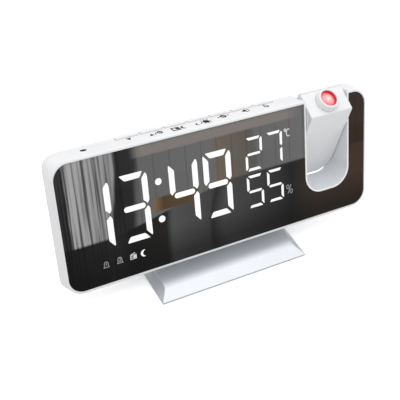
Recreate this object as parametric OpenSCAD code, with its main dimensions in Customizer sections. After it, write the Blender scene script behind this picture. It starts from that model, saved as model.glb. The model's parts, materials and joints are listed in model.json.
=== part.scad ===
// Projection alarm clock: a mirror-faced display body on a leaning stand, with a tilting projector arm.
// Row frame: +X to the right, +Y to the back, +Z up, origin at the centre of the resting face.

/* [Body] */
// Overall width of the body
body_w = 186; // [180:1:196]
// Overall height of the body, measured up its own face
body_h = 70.6; // [68:0.2:76]
// Depth of the body at its edges
edge_depth = 16.5; // [15.5:0.5:19]
// Depth of the raised middle of the back
hump_depth = 22; // [21:0.5:26]
// Depth of the front frame, from the mirror face to the parting line
frame_depth = 9.5; // [9:0.1:10]
// Width of the white rim round the mirror
rim = 1.5; // [1.2:0.1:2.2]
// How far the rim stands ahead of the mirror
rim_proud = 0.3; // [0.1:0.1:0.6]
// Corner radius of the body at the mirror
corner_r = 9.5; // [8:0.5:14]
// Corner radius of the body at the parting line and behind it
back_r = 6; // [4:0.5:12]
// Rounding of the rim's outer edge
rim_edge = 1.2; // [0.4:0.1:1.2]
// Wall thickness of the housings
wall = 1.5; // [1.2:0.1:1.8]
// Rounding of the back edge at the left and right ends
end_round = 8; // [5:0.5:9]
// Rounding of the back edge along the top and bottom
top_round = 2.5; // [1:0.1:3]

/* [Mirror and display] */
// Thickness of the mirror panel
mirror_t = 2; // [1.5:0.1:3]
// Width of the ledge that carries the mirror
ledge_w = 3.4; // [2.5:0.1:4]
// Thickness of the ledge
ledge_t = 1.2; // [1:0.1:1.6]
// Thickness of the diffuser film
film_t = 0.3; // [0.2:0.05:0.5]
// Thickness of the black segment mask
mask_t = 0.6; // [0.4:0.1:1]
// Depth of the light wells in the reflector
well_t = 3.5; // [2.5:0.1:4]
// Height of the large digits
digit_h = 36.6; // [30:0.1:40]
// Width of the large digits
digit_w = 16.8; // [14:0.1:18]
// Stroke width of the large digits
digit_s = 3.5; // [2.5:0.1:4]
// Height of the small digits
small_h = 19; // [16:0.1:19.2]
// Width of the small digits
small_w = 10.8; // [9:0.1:12]
// Stroke width of the small digits
small_s = 1.9; // [1.4:0.1:2.4]

/* [Keys] */
// Distance from key to key along the top
key_pitch = 13.35; // [12.5:0.05:14.5]
// Distance from the last key to the right end of the display
key_side = 15.4; // [12:0.1:18]
// Width of a key cap
key_w = 11.6; // [9:0.1:12]
// Depth of a key cap
key_d = 3.8; // [3:0.1:4.2]
// How far a key stands above the body
key_proud = 0.5; // [0.3:0.1:1.2]
// Travel of a key
key_travel = 0.8; // [0.4:0.1:1]

/* [Projector] */
// Distance from the middle of the projector bay to the right end of the body
bay_side = 27.6; // [26:0.1:31]
// Inside width of the bay
bay_w = 27.8; // [26:0.1:29]
// Wall thickness of the bay
bay_wall = 1; // [0.8:0.1:1.5]
// Height of the bay's lower end, from the middle of the body
bay_low = -18.4; // [-20:0.1:-16]
// Corner radius of the bay's lower end
bay_corner = 10; // [8:0.1:13]
// Depth of the hinge axis behind the mirror face
hinge_y = 9.5; // [9:0.1:10.5]
// Height of the hinge axis above the middle of the body
hinge_z = 19.5; // [17:0.1:20.5]
// Side clearance of the arm in its bay
arm_gap = 0.3; // [0.2:0.05:0.6]
// Forward tilt of the arm in its rest position, from flush with the mirror
arm_tilt = 28.3; // [0:0.1:40]
// Height of the arm's front face above the hinge axis
arm_up = 13.3; // [11:0.1:14.5]
// Length of the arm's front face
arm_len = 47.2; // [44:0.1:48]
// Slope of the arm's top face, rising to the back
arm_slope = 19; // [10:1:25]
// Thickness of the arm's lower edge
arm_tail = 4.5; // [3:0.1:6]
// Corner radius of the arm's lower end
arm_corner = 9.6; // [8:0.1:11]
// Wall thickness of the arm
arm_wall = 1.4; // [1:0.1:1.6]
// Radius of the hinge pins
pin_r = 2; // [1.5:0.1:2.4]
// Outer radius of the focus ring
ring_r = 6.5; // [6:0.1:7]
// Height of the focus ring above the arm's top face
ring_h = 3.6; // [2:0.1:4]
// Outer radius of the lens barrel
barrel_r = 4.7; // [3.8:0.05:5.1]

/* [Stand] */
// Width of the stand's foot
stand_w = 90.5; // [84:0.5:100]
// Depth of the stand's foot, front to back
stand_d = 52; // [48:0.5:60]
// Lean of the body and neck, back from upright
recline = 23; // [18:1:26]
// How far the foot's front edge stands ahead of the mirror's lower edge
toe = 12.2; // [8:0.1:16]
// Height of the mirror's lower edge above the table
lift = 16.1; // [15.5:0.1:22]
// Width of the bevel at the foot's front and back
foot_bevel = 7; // [5:0.5:9]
// Width of the bevel at the foot's ends
end_bevel = 4.3; // [3:0.1:6]
// Thickness of the foot's edge
foot_edge = 0.8; // [0.6:0.1:1.5]
// Height of the bevels
bevel_h = 2.4; // [1.8:0.1:3]
// Thickness of the neck
neck_t = 5; // [4:0.5:7]
// Width of the neck where it holds the body
neck_w = 56; // [48:1:60]

/* [Hidden] */
$fn = 48;
fit = 0.05;                       // gap between pieces that locate each other
press = 0.02;                     // radial gap of a pressed pin
run = 0.05;                       // radial gap of a running shaft
slip = 0.1;                       // gap of a drop-in piece
eps = 0.01;
big = 400;                        // longer than any piece, for cuts

// Mirror and body outlines
mirror_w = body_w - 2 * rim;
mirror_h = body_h - 2 * rim;
mirror_r = corner_r - rim;
inner_w = body_w - 2 * wall;      // inside the frame wall
inner_h = body_h - 2 * wall;
inner_r = corner_r - wall;
half_h = body_h / 2;
bay_x = body_w / 2 - bay_side;    // middle of the bay
u_out = bay_w / 2 + bay_wall;     // outer half width of the bay

// Body placement: mirror centre in the row frame
body_y = -stand_d / 2 + toe + mirror_h / 2 * sin(recline);
body_z = lift + mirror_h / 2 * cos(recline);

// Display stack, front to back
film_y = mirror_t;
mask_y = film_y + film_t;
well_y = mask_y + mask_t;
board_y = well_y + well_t;
pcb_t = 1.6;
stack_x0 = -body_w / 2 + 11;      // left end of the display stack
stack_x1 = bay_x - u_out - 3;     // right end, beside the bay
stack_z0 = -inner_h / 2 + 5.6;    // above the lower screw bosses
stack_z1 = inner_h / 2 - 7.4;     // below the keys and the upper bosses

// Digit places, counted from the display's left end and drawn in with its width
stack_nominal = 129.5;
fig_k = (stack_x1 - stack_x0) / stack_nominal;
fig_w = digit_w * fig_k;
fig_small_w = small_w * fig_k;
digit_z = 2.6;
digit_x = [for (d = [0.5, 21.3, 49.1, 68.8]) stack_x0 + d * fig_k];
colon_x = stack_x0 + 43.4 * fig_k;
colon_r = 2;
small_x = [for (d = [94.3, 107.1]) stack_x0 + d * fig_k];
upper_z = 13.8;
lower_z = -7.4;
icon_x = [for (d = [10.8, 18, 25.3, 31.9]) stack_x0 + d * fig_k];
icon_z = -23.3;
icon_s = 3.4;
unit_s = 4;
unit_x = stack_x0 + 121.3 * fig_k;
TIME = [1, 3, 4, 9];

// Screws
boss_r = 3;
core_r = 1.1;
screw_r = 1.2;
head_r = 2.3;
head_t = 1.6;
side_boss = [body_w / 2 - 6.7, 12];
low_boss_z = -inner_h / 2 + boss_r - 0.4;
low_boss_x = [stack_x0 + 52, stack_x1 - 11.5];
stand_screw_x = 14;
stand_screw_z = -11;
stand_core_r = 1.3;
stand_shank_r = 1.5;
stand_head_r = 2.8;
stand_head_t = 2;

// Hump on the back
hump_x0 = stack_x0 + 22;
hump_x1 = stack_x1 - 0.5;
hump_z0 = -29;
hump_z1 = 27;
hump_r = 8;
hump_slope = 2;

// Boards
led_w = 1.2;
led_t = 0.8;
chip = [10, 1.6, 10];
can = [8, 2.4, 6];
cap_r = 2.5;
cap_h = 5.4;
crystal_r = 1.5;
crystal_h = 3;
plug = [22, 2.6];
main_y = 11.6;
main_x0 = hump_x0 + 3;
main_x1 = hump_x1 - 3;
main_z0 = hump_z0 + 3.2;
main_z1 = hump_z1 - 3.8;
post_r = 2.2;
post_core = 0.95;
main_post = [[main_x0 + 4, main_z0 + 4], [main_x1 - 4, main_z0 + 4],
             [main_x0 + 4, main_z1 - 4], [main_x1 - 4, main_z1 - 4]];
tab_x = [stack_x0 + 22, stack_x1 - 17.5];     // display board tabs at the top
low_tab_x = [stack_x0 + 22, stack_x1 - 35.5]; // and along the bottom
tab_z = inner_h / 2 - 1.9;
tab_r = 1.8;

// Keys
key_n = 7;
key_first = stack_x1 - key_side - (key_n - 1) * key_pitch;
key_end = 9;                      // length of the key board beyond the first key
key_y = 12.5;                     // middle of the key row
key_gap = 0.25;
flange = 0.6;
flange_t = 0.9;
stem_w = 3;
switch_h = 1.6;
switch_w = 4.4;
plunger_h = 0.5;
crown_r = 75;                     // crown of the key caps
key_pcb_z = half_h - wall - flange_t - 5.6;
top_in = half_h - wall;

// Back pieces
speaker_side = 18;                // speaker's middle, in from the hump's end
speaker_x = hump_x0 + speaker_side;
speaker_z = 0;
speaker_r = 12.5;
speaker_t = 5;
cell_x = hump_x0 + (hump_x1 - hump_x0) * 68 / 107;
cell_z = 11.5;
cell_r = 10;
cell_t = 3.2;
door_r = 11.6;
door_t = wall;
lug_r = 12.5;
lug_t = 1.2;
cup_r = 13.7;
leaf_w = 4;                       // spring leaf under the cell
leaf_reach = 7;
port_x = hump_x1 - 11;
usb_z = 6;
usb = [13.1, 5.7];
usb_len = 10;
usb_wall = 0.35;
dc_z = -13;
dc_body = [7.4, 6.6];
dc_bore_r = 1.85;
dc_pin_r = 0.55;
vent_x = -body_w / 2 + 17;
sensor_x = -body_w / 2 + 20.8;
sensor_y = 7.7;
sensor_w = 3.2;
sensor_d = 2.6;
sensor_chip = [4.8, 3.6, 1.6];
climate_w = 12;
climate_h = 17;
climate_chip = 4;

// Arm, in its own closed frame: hinge axis at the origin, face parallel with the mirror
arm_w = bay_w - 2 * arm_gap;
arm_front = -hinge_y;
arm_back = edge_depth - hinge_y - 0.8;
arm_low = arm_up - arm_len;
lens_along = 7.7;                 // lens axis, back from the front top edge along the top face
lens_y = arm_front + lens_along * cos(arm_slope);
lens_z = arm_up + lens_along * sin(arm_slope);
lens_bore = barrel_r - 0.4;
guide_r = barrel_r + 1;
ring_neck = ring_r - 0.7;
ring_top_r = ring_r - 0.4;         // the ring tapers upwards
barrel_up = ring_h - 0.8;          // top of the barrel above the arm's top face
barrel_low = -5.6;
barrel_len = barrel_up - barrel_low;
plate_u = -4.4;                   // bulkhead that holds the guide tube
plate_t = 1.5;
guide_len = 3.8;
guide_u = -6.9;                   // lower end of the guide tube, below the arm's top face
board_u = -13.2;                  // lower face of the projector board
post_x = 8.2;                     // posts that hold the projector board
screw_core = 0.75;
ring_low = -arm_wall - 0.9;
pin_boss_r = pin_r + 2.2;
pin_end = bay_w / 2 + 3.2;        // end of the pin's boss, from the middle of the bay
pin_head_t = 0.7;
floor_rise = 3.4;                 // rise of the bay's floor from front to back
washer_r = 3.8;
washer_t = 0.7;
washer_seat = 0.5;
hub_in = 3.2;                     // length of the arm's inner hub, inside its side face

// Stand
pad_t = 1;
pad_proud = 0.5;                  // the pad stands this far below the foot
neck_top = -1;                    // top of the neck, up the body's back
foot_rise = 0.19;                 // slope of the foot's upper face
sweep_r = 9;                      // concave sweep from the foot to the neck, in front
heel_r = 4;                       // and behind
heel_fall = 0.09;                 // fall of the foot's upper face behind the neck

// ---------- frames and shared shapes ----------

// The body's own frame: y is depth behind the mirror face, z runs up the mirror
module in_body() {
    translate([0, body_y, body_z]) rotate([-recline, 0, 0]) children();
}

// The arm's closed frame, turned to its rest tilt
module in_arm() {
    in_body() translate([bay_x, hinge_y, hinge_z]) rotate([arm_tilt, 0, 0]) children();
}

// The lens axis: +Z out of the arm's top face, which is z = 0
module on_lens() {
    in_arm() translate([0, lens_y, lens_z]) rotate([arm_slope, 0, 0]) children();
}

// Extrudes a 2D shape of (x, z) from depth y0 to y1
module slab(y0, y1) {
    translate([0, y1, 0]) rotate([90, 0, 0]) linear_extrude(y1 - y0) children();
}

// A straight cylinder along depth, from y0 to y1
module rod(x, z, r, y0, y1) {
    translate([x, y1, z]) rotate([90, 0, 0]) cylinder(r = r, h = y1 - y0);
}

// A cylinder along X, from x0 to x1
module axle(r, x0, x1) {
    translate([x0, 0, 0]) rotate([0, 90, 0]) cylinder(r = r, h = x1 - x0);
}

module round_rect(w, h, r) {
    translate([-w / 2 + r, -h / 2]) square([w - 2 * r, h]);
    translate([-w / 2, -h / 2 + r]) square([w, h - 2 * r]);
    for (x = [-1, 1], z = [-1, 1]) translate([x * (w / 2 - r), z * (h / 2 - r)]) circle(r = r);
}

module box_outline(x0, x1, z0, z1) {
    translate([x0, z0]) square([x1 - x0, z1 - z0]);
}

// The bay's outline, grown by g
module bay_outline(g = 0) {
    slot_outline(bay_w / 2 + g, bay_low - g, bay_corner + g);
}

// A slot open at the top: half width w, lower end at low, corner radius r
module slot_outline(w, low, r) {
    translate([bay_x - w, low + r]) square([2 * w, body_h]);
    translate([bay_x - w + r, low]) square([2 * (w - r), r + 1]);
    for (s = [-1, 1]) translate([bay_x + s * (w - r), low + r]) circle(r = r, $fn = 64);
}

function arc(cx, cy, r, a0, a1, n) =
    [for (i = [0:n]) let (a = a0 + (a1 - a0) * i / n) [cx + r * cos(a), cy + r * sin(a)]];

// ---------- seven segment figures ----------

// Which of the segments a to g a figure lights
LIT = ["abcdef", "bc", "abged", "abgcd", "fgbc", "afgcd", "afgedc", "abc", "abcdefg", "abfgcd"];

// A bar with pointed ends, from (x0, z) to (x1, z)
module bar_h(x0, x1, z, s) {
    c = s / 2;
    polygon([[x0, z], [x0 + c, z + c], [x1 - c, z + c], [x1, z], [x1 - c, z - c], [x0 + c, z - c]]);
}

module bar_v(z0, z1, x, s) {
    rotate(90) bar_h(z0, z1, -x, s);
}

// Every segment window of one figure, its lower left corner at the origin
module figure_windows(w, h, s) {
    g = s * 0.15;
    c = s / 2;
    for (z = [c, h / 2, h - c]) bar_h(c + g, w - c - g, z, s);
    for (x = [c, w - c]) {
        bar_v(c + g, h / 2 - g, x, s);
        bar_v(h / 2 + g, h - c - g, x, s);
    }
}

// All windows of the display: four large figures, the colon, two pairs of small ones and the signs
module windows() {
    for (x = digit_x) translate([x, digit_z - digit_h / 2]) figure_windows(fig_w, digit_h, digit_s);
    for (z = [-1, 1]) translate([colon_x, digit_z + z * 10.2]) circle(r = colon_r, $fn = 24);
    for (x = small_x, z = [upper_z, lower_z])
        translate([x, z - small_h / 2]) figure_windows(fig_small_w, small_h, small_s);
    for (x = icon_x) translate([x, icon_z]) square(icon_s, center = true);
    for (z = [upper_z + 6.5, lower_z - 5]) translate([unit_x, z]) square(unit_s, center = true);
}

// ---------- stand ----------

// A point of the body's frame (depth, height) in the row's (y, z) plane
function on_side(d, h) = [body_y + d * cos(recline) + h * sin(recline),
                          body_z - d * sin(recline) + h * cos(recline)];
// Where the line through p with slope m meets the line through q along the lean
function meet(p, m, q) = let (k = 1 / tan(recline), y = (p[1] - q[1] - m * p[0] + k * q[0]) / (k - m))
    [y, p[1] + m * (y - p[0])];
// How far a sweep of radius r reaches along the sides a and b of a corner, and to its centre
function half_angle(a, b) = acos(a[0] * b[0] + a[1] * b[1]) / 2;
function reach(a, b, r) = r / tan(half_angle(a, b));
function centre(c, a, b, r) = c + (a + b) / norm(a + b) * r / sin(half_angle(a, b));

// Side view of the stand: bevelled foot, neck along the body's back, both corners swept
module stand_profile() {
    front = -stand_d / 2;
    base = pad_proud;
    bevel_top = base + foot_edge + bevel_h;
    toe_top = [front + foot_bevel, bevel_top];
    heel_top = [-front - foot_bevel, bevel_top];
    up = [sin(recline), cos(recline)];
    fore = [-1, -foot_rise] / norm([1, foot_rise]);
    aft = [1, -heel_fall] / norm([1, heel_fall]);
    crotch = meet(toe_top, foot_rise, on_side(hump_depth, 0));
    instep = meet(heel_top, -heel_fall, on_side(hump_depth + neck_t, 0));
    front_c = centre(crotch, fore, up, sweep_r);
    back_c = centre(instep, aft, up, heel_r);
    difference() {
        polygon([[front, base], [front, base + foot_edge], toe_top,
                 crotch + fore * reach(fore, up, sweep_r), front_c,
                 crotch + up * reach(fore, up, sweep_r),
                 on_side(hump_depth, neck_top), on_side(hump_depth + neck_t, neck_top),
                 instep + up * reach(aft, up, heel_r), back_c,
                 instep + aft * reach(aft, up, heel_r),
                 heel_top, [-front, base + foot_edge], [-front, base]]);
        translate(front_c) circle(r = sweep_r, $fn = 96);
        translate(back_c) circle(r = heel_r, $fn = 96);
    }
}

// Front view of the stand: bevelled foot, shoulders and the neck above them
module stand_front() {
    half = stand_w / 2;
    crest = half - end_bevel;
    shoulder = pad_proud + foot_edge + bevel_h + 4;
    neck = neck_w / 2;
    flare = crest - neck - 3;
    top = on_side(hump_depth, neck_top)[1] + 4;
    difference() {
        polygon(concat(
            [[-half, 0], [half, 0], [half, pad_proud + foot_edge],
             [crest, pad_proud + foot_edge + bevel_h], [crest, shoulder]],
            arc(crest, shoulder + flare, flare, 270, 180, 12),
            [[neck, top], [-neck, top]],
            arc(-crest, shoulder + flare, flare, 0, -90, 12),
            [[-crest, shoulder], [-crest, pad_proud + foot_edge + bevel_h],
             [-half, pad_proud + foot_edge]]));
        for (s = [-1, 1]) translate([s * (neck - 6), top - 9]) difference() {
            translate([s > 0 ? 0 : -9, 0]) square(9);
            circle(r = 6);
        }
    }
}

module stand() color("silver") difference() {
    intersection() {
        translate([-stand_w / 2, 0, 0]) rotate([90, 0, 90]) linear_extrude(stand_w) stand_profile();
        translate([0, big / 2, 0]) rotate([90, 0, 0]) linear_extrude(big) stand_front();
    }
    translate([0, 0, pad_proud]) cube([stand_w - 14 + 2 * slip, stand_d - 14 + 2 * slip,
                                       2 * (pad_t - pad_proud)], center = true);
    in_body() for (s = [-1, 1]) {
        rod(s * stand_screw_x, stand_screw_z, stand_shank_r + 0.2, hump_depth - 1, big / 4);
        rod(s * stand_screw_x, stand_screw_z, stand_head_r + 0.2,
            hump_depth + neck_t - stand_head_t - 0.2, big / 4);
    }
}

module anti_slip_pad() color("dimgray")
    translate([0, 0, pad_t / 2]) cube([stand_w - 14, stand_d - 14, pad_t], center = true);

module stand_screws() color("gray") in_body() for (s = [-1, 1]) difference() {
    union() {
        rod(s * stand_screw_x, stand_screw_z, stand_head_r,
            hump_depth + neck_t - stand_head_t - 0.2, hump_depth + neck_t - 0.2);
        rod(s * stand_screw_x, stand_screw_z, stand_core_r,
            hump_depth - 7, hump_depth + neck_t - stand_head_t - 0.1);
    }
    translate([s * stand_screw_x, hump_depth + neck_t, stand_screw_z]) cross_recess(2.2);
}

module cross_recess(s) {
    for (a = [0, 90]) rotate([0, a, 0]) cube([s, 2, s / 4], center = true);
}

// ---------- housings ----------

// How far the back shell has drawn in at depth y, along the width and along the height
function ins_x(y) = let (t = max(0, y - frame_depth) / (edge_depth - frame_depth))
    end_round * (1 - sqrt(max(0, 1 - t * t)));
function ins_z(y) = let (t = max(0, y - edge_depth + top_round) / top_round)
    top_round * (1 - sqrt(max(0, 1 - t * t)));

// Solid of the back shell, everywhere inside its outer face by g
module shell_solid(g) {
    hull() for (i = [0:8]) {
        y = frame_depth + (edge_depth - frame_depth) * sin(90 * i / 8);
        x_in = ins_x(y) + g;
        z_in = ins_z(y) + g;
        front = i == 0 ? frame_depth - (g > 0 ? eps : 0) : y - g - eps;
        slab(front, front + eps) round_rect(body_w - 2 * x_in, body_h - 2 * z_in,
                                            g > 0 ? corner_r - g : back_r, $fn = 48);
    }
}

// Solid of the front frame: a rounded rim, then corners that square up towards the parting line
module front_solid() {
    hull() {
        for (a = [0, 30, 60, 90]) {
            y = -rim_proud + rim_edge * (1 - cos(a));
            x_in = rim_edge * (1 - sin(a));
            slab(y, y + eps) round_rect(body_w - 2 * x_in, body_h - 2 * x_in, corner_r - x_in, $fn = 64);
        }
        slab(frame_depth - eps, frame_depth) round_rect(body_w, body_h, back_r, $fn = 48);
    }
}

module hump_solid(g, foot) {
    cx = (hump_x0 + hump_x1) / 2;
    cz = (hump_z0 + hump_z1) / 2;
    w = hump_x1 - hump_x0 - 2 * g;
    h = hump_z1 - hump_z0 - 2 * g;
    translate([cx, 0, cz]) hull() {
        slab(foot, foot + eps) round_rect(w, h, hump_r - g);
        slab(hump_depth - g - 1, hump_depth - g - 1 + eps)
            round_rect(w - 2 * hump_slope, h - 2 * hump_slope, hump_r - g);
        slab(hump_depth - g - eps, hump_depth - g)
            round_rect(w - 2 * hump_slope - 2, h - 2 * hump_slope - 2, hump_r - g - 1);
    }
}

function boss_places() = concat([for (x = [-1, 1], z = [-1, 1]) [x * side_boss[0], z * side_boss[1]]],
                                [for (x = low_boss_x) [x, low_boss_z]]);

module rear_housing() color("whitesmoke") in_body() difference() {
    union() {
        difference() {
            union() {
                shell_solid(0);
                hump_solid(0, edge_depth - 1);
            }
            difference() {
                union() {
                    shell_solid(wall);
                    hump_solid(wall, frame_depth);
                }
                slab(0, big) bay_outline(bay_wall + fit + wall);
            }
        }
        rear_fittings();
    }
    slab(-1, big) bay_outline(bay_wall + fit);
    translate([bay_x, hinge_y, hinge_z]) axle(pin_boss_r + fit, -pin_end - 2, pin_end + 2);
    for (p = boss_places()) {
        rod(p[0], p[1], core_r + 0.3, 0, big);
        rod(p[0], p[1], head_r + 0.2, edge_depth - 2.6, big);
    }
    for (i = [0:key_n - 1]) translate([key_first + i * key_pitch, key_y, half_h]) {
        cube([key_w + 2 * key_gap, key_d + 2 * key_gap, 3 * wall], center = true);
        translate([0, 0, -wall - flange_t - key_travel])
            cube([key_w + 2 * flange + 2 * key_gap, key_d + 0.8 + 2 * key_gap,
                  2 * (flange_t + key_travel)], center = true);
    }
    for (p = main_post) rod(p[0], p[1], post_core + 0.03, main_y, main_y + 6);
    speaker_grille();
    for (s = [-1, 1]) rod(s * stand_screw_x, stand_screw_z, stand_core_r + fit, hump_depth - 7.5, big);
    door_hole();
    slab(0, big) translate([port_x, usb_z]) square([usb[0] + 0.4, usb[1] + 0.4], center = true);
    rod(port_x, dc_z, 3 + slip, 0, big);
    for (i = [0:5]) slab(edge_depth - 2 * wall, big)
        translate([vent_x - 4 + 1.6 * i, 4]) square([0.9, 9], center = true);
}

// Bosses, posts, ribs and the cell cup inside the back
module rear_fittings() {
    back = edge_depth - wall + eps;
    deep = hump_depth - wall + eps;
    for (p = boss_places()) rod(p[0], p[1], boss_r, frame_depth, edge_depth - wall + 0.2);
    for (s = [-1, 1]) rod(s * stand_screw_x, stand_screw_z, boss_r + 0.5, hump_depth - 8, deep);
    for (p = main_post) rod(p[0], p[1], post_r, main_y + pcb_t, deep);
    rod(cell_x, cell_z, cup_r, hump_depth - wall - 6.6, deep);
    for (x = [-4, 3.5 * key_pitch, (key_n - 1) * key_pitch + 5.9])
        translate([key_first + x, frame_depth, key_pcb_z - pcb_t - 2.2])
            cube([1.6, back - frame_depth, 2.2]);
    for (x = [-4, 4]) rod(vent_x + x, 14, 1.2, edge_depth - wall - 1.4, back);
    difference() {
        rod(speaker_x, speaker_z, speaker_r + 1.2, hump_depth - wall - 2, deep);
        rod(speaker_x, speaker_z, speaker_r + fit, 0, big);
    }
}

module speaker_grille() {
    for (k = [0:2], i = [0:max(0, 6 * k - 1)])
        rod(speaker_x + 3.6 * k * cos(60 * i / max(1, k)), speaker_z + 3.6 * k * sin(60 * i / max(1, k)),
            0.9, hump_depth - 2 * wall, big);
}

// The bayonet hole for the battery door, and the cup behind it
module door_hole() {
    deck = hump_depth - wall;
    rod(cell_x, cell_z, door_r + 0.15, deck - eps, big);
    rod(cell_x, cell_z, lug_r + 0.2, deck - lug_t - 0.2, deck + eps / 2);
    rod(cell_x, cell_z, cell_r + 0.3, deck - lug_t - cell_t - 1.2, deck - lug_t);
    for (s = [0, 180]) translate([cell_x, 0, cell_z]) rotate([0, 45 + s, 0])
        slab(deck - lug_t, big) translate([0, -3.4]) square([lug_r + 0.2, 6.8]);
}

module front_frame() color("white") in_body() difference() {
    union() {
        difference() {
            front_solid();
            slab(-1, big) round_rect(inner_w, inner_h, inner_r);
        }
        difference() {
            slab(mirror_t, mirror_t + ledge_t) round_rect(inner_w + eps, inner_h + eps, inner_r);
            slab(0, big) box_outline(stack_x0 - slip, bay_x, stack_z0 - slip, stack_z1 + slip);
        }
        intersection() {
            for (p = boss_places()) rod(p[0], p[1], boss_r, mirror_t + ledge_t - eps, frame_depth);
            slab(0, big) round_rect(body_w - wall, body_h - wall, corner_r - wall / 2);
        }
        for (p = board_tabs()) rod(p[0], p[1], tab_r, mirror_t + ledge_t - eps, board_y);
    }
    slab(-1, big) bay_outline(bay_wall + fit);
    slab(mirror_t - eps, big / 8) bay_flange_outline(slip);
    for (p = boss_places()) rod(p[0], p[1], core_r, mirror_t + ledge_t + 0.6, big);
    for (p = board_tabs()) rod(p[0], p[1], 0.8, mirror_t + ledge_t, big);
    translate([sensor_x, sensor_y, half_h - wall - 1]) linear_extrude(2 * wall + 1) sensor_outline(fit);
}

function board_tabs() = concat([for (x = tab_x) [x, tab_z]], [for (x = low_tab_x) [x, -tab_z]]);

module sensor_outline(g) {
    translate([-(sensor_w - sensor_d) / 2, 0]) circle(r = sensor_d / 2 + g, $fn = 24);
    translate([(sensor_w - sensor_d) / 2, 0]) circle(r = sensor_d / 2 + g, $fn = 24);
    square([sensor_w - sensor_d, sensor_d + 2 * g], center = true);
}

module mirror_panel() color([0.15, 0.13, 0.13]) in_body() difference() {
    slab(0, mirror_t) round_rect(mirror_w - 2 * slip, mirror_h - 2 * slip, mirror_r - slip);
    slab(-1, big) bay_outline(bay_wall + slip);
}

// ---------- projector bay ----------

// The flange that backs the mirror round the bay
module bay_flange_outline(g) {
    intersection() {
        bay_outline(bay_wall + 2.5 + g);
        box_outline(0, body_w / 2, stack_z0 + g, inner_h / 2 - ledge_w);
    }
}

module bay_back_outline() {
    slot_outline(bay_w / 2, bay_low + floor_rise, bay_corner);
}

// The room that the arm's lower end sweeps as it turns, with clearance g
module arm_sweep(g) {
    n = 16;
    half = arm_w / 2 + g;
    reach = norm([arm_front, arm_low]) + g;
    side = reach - arm_corner;
    translate([bay_x, hinge_y, hinge_z]) rotate([0, 90, 0]) rotate_extrude($fn = 96)
        polygon(concat([[0, -half], [side, -half]],
            [for (i = [0:n]) [side + arm_corner * sin(90 * i / n),
                              -half + arm_corner * (1 - cos(90 * i / n))]],
            [for (i = [0:n]) [side + arm_corner * cos(90 * i / n),
                              half - arm_corner * (1 - sin(90 * i / n))]],
            [[0, half]]));
}

module projector_bay() color("white") in_body() difference() {
    union() {
        intersection() {
            slab(-rim_proud, edge_depth) bay_outline(bay_wall);
            union() {
                front_solid();
                shell_solid(0);
                slab(frame_depth - 1, frame_depth + 1)
                    box_outline(bay_x - u_out - 1, bay_x + u_out + 1, 0, half_h - 0.2);
            }
        }
        slab(mirror_t + fit, mirror_t + ledge_t) bay_flange_outline(0);
        translate([bay_x, hinge_y, hinge_z]) axle(pin_boss_r, -pin_end, pin_end);
    }
    hull() {
        slab(-2, -1) bay_outline();
        slab(-rim_proud - eps, -rim_proud) bay_outline();
        slab(edge_depth, edge_depth + 1) bay_back_outline();
    }
    arm_sweep(0.35);
    translate([bay_x, hinge_y, hinge_z]) axle(pin_r + press, -big / 8, big / 8);
}

// ---------- display stack ----------

module stack_outline(g = 0) {
    difference() {
        box_outline(stack_x0 + g, stack_x1 - g, stack_z0 + g, stack_z1 - g);
        bay_outline(bay_wall + 2.6);
    }
}

module diffuser_film() color("lightgray") in_body()
    slab(film_y, film_y + film_t) stack_outline();

module segment_mask() color([0.08, 0.08, 0.08]) in_body() slab(mask_y, mask_y + mask_t) difference() {
    stack_outline();
    windows();
}

module reflector_block() color("white") in_body() slab(well_y, board_y) difference() {
    stack_outline(0.3);
    windows();
}

module display_board() color("darkgreen") in_body() slab(board_y, board_y + pcb_t) difference() {
    union() {
        stack_outline(0.3);
        for (p = board_tabs()) intersection() {
            translate([p[0] - 3, p[1] > 0 ? stack_z1 - 2 : -inner_h / 2 + slip])
                square([6, p[1] > 0 ? inner_h / 2 - slip - stack_z1 + 2 : stack_z0 + inner_h / 2 + 1]);
            box_outline(-big, big, -inner_h / 2 + slip, inner_h / 2 - slip);
        }
    }
    for (p = board_tabs()) translate(p) circle(r = 1.1, $fn = 24);
}

// One light source behind each segment, the colon and each sign
module segment_leds() color("lightyellow") in_body() {
    for (x = digit_x) translate([x, 0, digit_z - digit_h / 2]) figure_leds(fig_w, digit_h, digit_s);
    for (z = [-1, 1]) led(colon_x, digit_z + z * 10.2);
    for (x = small_x, z = [upper_z, lower_z])
        translate([x, 0, z - small_h / 2]) figure_leds(fig_small_w, small_h, small_s);
    for (x = icon_x) led(x, icon_z);
    for (z = [upper_z + 6.5, lower_z - 5]) led(unit_x, z);
}

module figure_leds(w, h, s) {
    c = s / 2;
    for (z = [c, h / 2, h - c]) led(w / 2, z);
    for (x = [c, w - c], z = [h * 0.27, h * 0.73]) led(x, z);
}

module led(x, z) {
    translate([x, board_y - led_t / 2, z]) cube([led_w, led_t, led_w], center = true);
}

module main_board() color("green") in_body() slab(main_y, main_y + pcb_t) difference() {
    box_outline(main_x0, main_x1, main_z0, main_z1);
    for (p = main_post) translate(p) circle(r = 1.1, $fn = 24);
}

// Chip, capacitors, crystal and radio can on the back of the main board
module board_components() color([0.2, 0.2, 0.22]) in_body() translate([0, main_y + pcb_t, 0]) {
    mid = (main_x0 + main_x1) / 2;
    cap_x = (stand_screw_x + boss_r + port_x - dc_body[0] / 2) / 2;
    translate([mid - 1.5 * chip[0], 0, 2]) cube(chip);
    translate([mid - 2.2 * can[0], 0, main_z0 + 0.8 * can[2]]) cube(can);
    for (z = [0, 2.8 * cap_r]) translate([cap_x, 0, main_z0 + 2.8 * cap_r + z]) rotate([-90, 0, 0])
        cylinder(r = cap_r, h = cap_h);
    translate([mid - crystal_r, 0, main_z1 - 6 * crystal_r]) rotate([-90, 0, 0])
        cylinder(r = crystal_r, h = crystal_h);
}

module board_connector() color("ivory") in_body()
    translate([(main_x0 + main_x1) / 2 - plug[0], board_y + pcb_t, -12])
        cube([plug[0], main_y - board_y - pcb_t, plug[1]]);

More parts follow.
